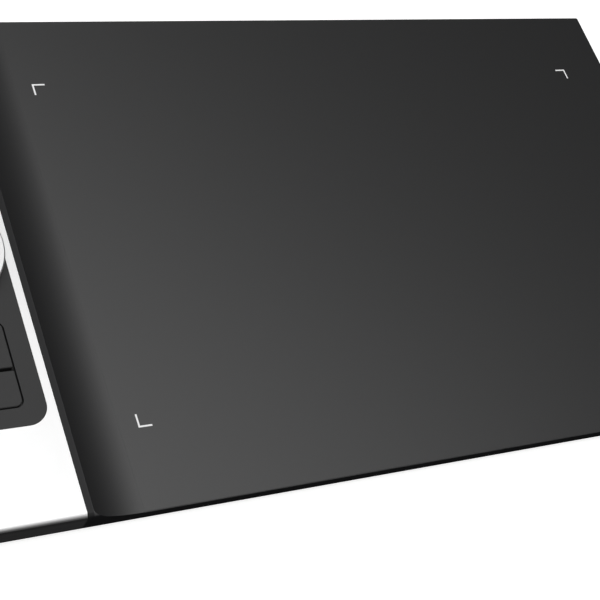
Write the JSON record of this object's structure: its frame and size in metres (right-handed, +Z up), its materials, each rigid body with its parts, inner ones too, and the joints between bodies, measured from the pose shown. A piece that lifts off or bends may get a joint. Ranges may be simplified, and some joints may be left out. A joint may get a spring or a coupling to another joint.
{
  "type": "graphics tablet",
  "caption": "Thin pen tablet with a matte drawing area that sweeps up to a raised end, which carries press keys and a raised turning dial under a silver plate.",
  "frame": {"origin": "centre of the housing's outline, on the plane that the feet stand on", "axes": "+X along the housing towards the drawing area's far end, away from the keys; +Y to the back; +Z up"},
  "size_m": [0.39, 0.2242, 0.0157],
  "materials": {
    "black_shell": "fine matte moulding",
    "drawing_film": "fine grained matte film",
    "silver_plate": "bead blasted and anodised",
    "dark_panel": "satin moulding",
    "key_caps": "satin moulding",
    "silver_dial": "turned and anodised",
    "touch_surface": "fine matte",
    "black_base": "fine matte moulding",
    "foot_rubber": "matte",
    "inner_plastic": "natural acetal",
    "inner_black": "moulded",
    "circuit_board": "solder mask",
    "flat_cable": "polyimide",
    "sockets": "moulded",
    "spring_steel": "bright",
    "shield_metal": "rolled",
    "inlet_metal": "plated",
    "inlet_plastic": "moulded",
    "screw_steel": "plated"
  },
  "bodies": {
    "tablet": {"top_cover": "black_shell", "drawing_sheet": "drawing_film", "side_plate": "silver_plate", "key_panel": "dark_panel", "bottom_cover": "black_base", "dial_hub": "inner_plastic", "dial_washer": "inner_plastic", "touch_disc": "touch_surface", "touch_board": "circuit_board", "dial_sensors": "inner_black", "detent_spring": "spring_steel", "switch_board": "circuit_board", "main_board": "circuit_board", "main_chips": "inner_black", "sensor_board": "circuit_board", "shield_sheet": "shield_metal", "usb_shell": "inlet_metal", "usb_tongue": "inlet_plastic", "ribbon_sockets": "sockets", "sensor_ribbon": "flat_cable", "switch_ribbon": "flat_cable", "touch_ribbon": "flat_cable", "cover_screws": "screw_steel", "board_screws": "screw_steel", "hub_screws": "screw_steel", "foot_1": "foot_rubber", "foot_2": "foot_rubber", "foot_3": "foot_rubber", "foot_4": "foot_rubber", "foot_5": "foot_rubber", "foot_6": "foot_rubber", "key_switch_1": "inner_black", "key_switch_2": "inner_black", "key_switch_3": "inner_black", "key_switch_4": "inner_black", "key_switch_5": "inner_black", "key_switch_6": "inner_black", "key_switch_7": "inner_black", "key_switch_8": "inner_black"},
    "dial": {"dial_ring": "silver_dial", "dial_rotor": "inner_black"},
    "key_body_1": {"key_1": "key_caps", "switch_plunger_1": "inner_plastic"},
    "key_body_2": {"key_2": "key_caps", "switch_plunger_2": "inner_plastic"},
    "key_body_3": {"key_3": "key_caps", "switch_plunger_3": "inner_plastic"},
    "key_body_4": {"key_4": "key_caps", "switch_plunger_4": "inner_plastic"},
    "key_body_5": {"key_5": "key_caps", "switch_plunger_5": "inner_plastic"},
    "key_body_6": {"key_6": "key_caps", "switch_plunger_6": "inner_plastic"},
    "key_body_7": {"key_7": "key_caps", "switch_plunger_7": "inner_plastic"},
    "key_body_8": {"key_8": "key_caps", "switch_plunger_8": "inner_plastic"}
  },
  "joints": [
    {"name": "dial_turn", "type": "hinge", "parent": "tablet", "child": "dial", "pos_m": [-0.1653, 0, 0.0157], "axis": [0, 0, 1], "continuous": true},
    {"name": "key_1_press", "type": "slide", "parent": "tablet", "child": "key_body_1", "axis": [0, 0, -1], "range_m": [0, 0.0008], "stiffness_N_per_m": 400, "springref_m": -0.0006},
    {"name": "key_2_press", "type": "slide", "parent": "tablet", "child": "key_body_2", "axis": [0, 0, -1], "range_m": [0, 0.0008], "stiffness_N_per_m": 400, "springref_m": -0.0006},
    {"name": "key_3_press", "type": "slide", "parent": "tablet", "child": "key_body_3", "axis": [0, 0, -1], "range_m": [0, 0.0008], "stiffness_N_per_m": 400, "springref_m": -0.0006},
    {"name": "key_4_press", "type": "slide", "parent": "tablet", "child": "key_body_4", "axis": [0, 0, -1], "range_m": [0, 0.0008], "stiffness_N_per_m": 400, "springref_m": -0.0006},
    {"name": "key_5_press", "type": "slide", "parent": "tablet", "child": "key_body_5", "axis": [0, 0, -1], "range_m": [0, 0.0008], "stiffness_N_per_m": 400, "springref_m": -0.0006},
    {"name": "key_6_press", "type": "slide", "parent": "tablet", "child": "key_body_6", "axis": [0, 0, -1], "range_m": [0, 0.0008], "stiffness_N_per_m": 400, "springref_m": -0.0006},
    {"name": "key_7_press", "type": "slide", "parent": "tablet", "child": "key_body_7", "axis": [0, 0, -1], "range_m": [0, 0.0008], "stiffness_N_per_m": 400, "springref_m": -0.0006},
    {"name": "key_8_press", "type": "slide", "parent": "tablet", "child": "key_body_8", "axis": [0, 0, -1], "range_m": [0, 0.0008], "stiffness_N_per_m": 400, "springref_m": -0.0006}
  ]
}
